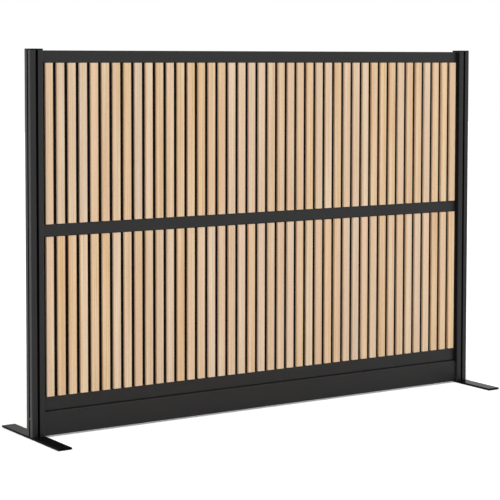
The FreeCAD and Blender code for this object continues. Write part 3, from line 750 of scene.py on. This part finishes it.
class WALL_OT_fasteners(bpy.types.Operator):
    """Make the grub screws, barrel bolts and foot bolts with their sockets"""
    bl_idname = "slatted_wall.fasteners"
    bl_label = "Fasteners"

    def execute(self, context):
        settings = context.scene.wall_fasteners
        tree = socket_screw_tree()
        for end, out in zip(ENDS, (-1, 1)):
            self.grub_screws(settings, tree, f"rail_screws_{end}")
            self.barrel_bolt(settings, tree, f"kick_bolt_{end}", out)
            self.foot_bolt(settings, tree, f"foot_bolt_{end}")
        return {"FINISHED"}

    def grub_screws(self, settings, tree, node):
        """The screws in the backs of the rails, which hold the connectors."""
        boxes = separate_boxes(node)
        low, high = boxes[0]
        radius, size, edge = (high.z - low.z) / 2, high.y - low.y, settings.edge
        outline = [(0, -size), (radius, -size), (radius, -edge), (radius - edge, 0), (0, 0)]
        places = [((low.x + high.x) / 2, high.y, (low.z + high.z) / 2) for low, high in boxes]
        self.make(tree, node, outline, places, settings.grub_key, size * GRUB_SOCKET,
                  (-QUARTER, 0, 0))

    def barrel_bolt(self, settings, tree, node, out):
        """The bolt through a post into the kickboard, whose head faces outwards."""
        low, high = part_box(node)
        radius, size = (high.z - low.z) / 2, high.x - low.x
        head, shank, edge = settings.barrel_head, settings.barrel_shank, settings.edge
        outline = [(0, -size), (shank - edge, -size), (shank, edge - size), (shank, -head),
                   (radius, -head), (radius, -edge), (radius - edge, 0), (0, 0)]
        places = [((low if out < 0 else high).x, (low.y + high.y) / 2, (low.z + high.z) / 2)]
        self.make(tree, node, outline, places, settings.barrel_key, head * BARREL_SOCKET,
                  (0, out * QUARTER, 0))

    def foot_bolt(self, settings, tree, node):
        """The countersunk bolt from under a foot into the post's bore."""
        low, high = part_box(node)
        radius, size = (high.x - low.x) / 2, high.z - low.z
        shank, edge = settings.foot_shank, settings.edge
        outline = [(0, -size), (shank - 2 * edge, -size), (shank, 2 * edge - size),
                   (shank, shank - radius), (radius - edge / 2, -edge / 2),
                   (radius - edge, 0), (0, 0)]
        places = [((low.x + high.x) / 2, (low.y + high.y) / 2, low.z)]
        self.make(tree, node, outline, places, settings.foot_key, FOOT_SOCKET, (math.pi, 0, 0))

    def make(self, tree, node, outline, places, key, depth, turn):
        """Screws of one node, as one plain mesh in its place."""
        blank = turned_blank(outline)
        mesh = bpy.data.meshes.new(node)
        mesh.from_pydata(places, [], [])
        screws = new_piece(f"{node}_socketed", mesh)
        grow(screws, tree, {"Blank": blank, "Key": key, "Depth": depth, "Turn": turn,
                            "Material": material_of("zinc_plated_steel")})
        bpy.data.objects.remove(blank)
        stand_for(screws, node)


class WALL_OT_joints(bpy.types.Operator):
    """Finish the connectors, keys and blocks inside the joints"""
    bl_idname = "slatted_wall.joints"
    bl_label = "Inside the joints"

    def execute(self, context):
        for end in ENDS:
            for node in ("kick_block", "kick_key"):
                finish_node(f"{node}_{end}", "mill_finish_aluminium")
            for node in ("foot_keys", *(f"{rail}_connector" for rail in RAILS)):
                finish_node(f"{node}_{end}", "zinc_plated_steel")
        return {"FINISHED"}


class WALL_OT_stage(bpy.types.Operator):
    """Set the floor, the even white surroundings, the soft lamps and the camera"""
    bl_idname = "slatted_wall.stage"
    bl_label = "Stage"

    def execute(self, context):
        scene = context.scene
        settings = scene.wall_stage

        camera = new_piece("camera", bpy.data.cameras.new("camera"))
        camera.data.sensor_width = CAMERA_FILM
        camera.data.lens = CAMERA_LENS
        camera.data.shift_y = CAMERA_SHIFT
        camera.data.clip_end = CAMERA_REACH
        camera.matrix_world = (Matrix.Translation(CAMERA_PLACE)
                               @ Matrix.Rotation(math.radians(CAMERA_TURN), 4, "Z")
                               @ Matrix.Rotation(math.radians(90 - CAMERA_DIP), 4, "X")
                               @ Matrix.Rotation(math.radians(CAMERA_ROLL), 4, "Z"))
        scene.camera = camera

        mesh = bpy.data.meshes.new("floor")
        corners = [(x * FLOOR_REACH, y * FLOOR_REACH, 0)
                   for x, y in ((-1, -1), (1, -1), (1, 1), (-1, 1))]
        mesh.from_pydata(corners, [], [(0, 1, 2, 3)])
        mesh.materials.append(material_of("studio_floor"))
        new_piece("floor", mesh)

        world = bpy.data.worlds.new("white_surroundings")
        scene.world = world
        world.use_nodes = True
        tree = world.node_tree
        tree.nodes.clear()
        seen = white_rays(tree)[1]
        level = add(tree, "ShaderNodeMapRange",
                    {"Value": seen, "To Min": settings.ambient, "To Max": 1})
        white = add(tree, "ShaderNodeBackground",
                    {"Color": (1, 1, 1, 1), "Strength": level.outputs[0]})
        add(tree, "ShaderNodeOutputWorld", {"Surface": white.outputs[0]})

        for name, (share, turn, height) in LAMPS.items():
            lamp = new_piece(name, bpy.data.lights.new(name, "SUN"))
            lamp.data.energy = settings.key * share
            lamp.data.angle = math.radians(LAMP_SPREAD)
            lamp.matrix_world = (Matrix.Rotation(math.radians(turn), 4, "Z")
                                 @ Matrix.Rotation(math.radians(90 - height), 4, "X"))
        return {"FINISHED"}


PIECES = (WALL_OT_slats, WALL_OT_rails, WALL_OT_posts, WALL_OT_caps, WALL_OT_boards,
          WALL_OT_feet, WALL_OT_fasteners, WALL_OT_joints, WALL_OT_stage)
SETTINGS = {"wall_slats": SlatSettings, "wall_finishes": FinishSettings,
            "wall_fasteners": FastenerSettings, "wall_stage": StageSettings}


class WALL_PT_panel(bpy.types.Panel):
    bl_idname = "WALL_PT_panel"
    bl_label = "Slatted wall"
    bl_space_type = "VIEW_3D"
    bl_region_type = "UI"
    bl_category = "Slatted wall"

    def draw(self, context):
        for name, group in SETTINGS.items():
            box = self.layout.box()
            for item in group.__annotations__:
                box.prop(getattr(context.scene, name), item)
        for piece in PIECES:
            self.layout.operator(piece.bl_idname)


def register():
    for item in (*SETTINGS.values(), *PIECES, WALL_PT_panel):
        bpy.utils.register_class(item)
    for name, group in SETTINGS.items():
        setattr(bpy.types.Scene, name, bpy.props.PointerProperty(type=group))


def unregister():
    for name in SETTINGS:
        delattr(bpy.types.Scene, name)
    for item in (WALL_PT_panel, *reversed(PIECES), *reversed(SETTINGS.values())):
        bpy.utils.unregister_class(item)


def main():
    register()
    bpy.context.scene.view_settings.view_transform = "Standard"
    for piece in PIECES:
        group, name = piece.bl_idname.split(".")
        getattr(getattr(bpy.ops, group), name)()


if __name__ == "__main__":
    main()
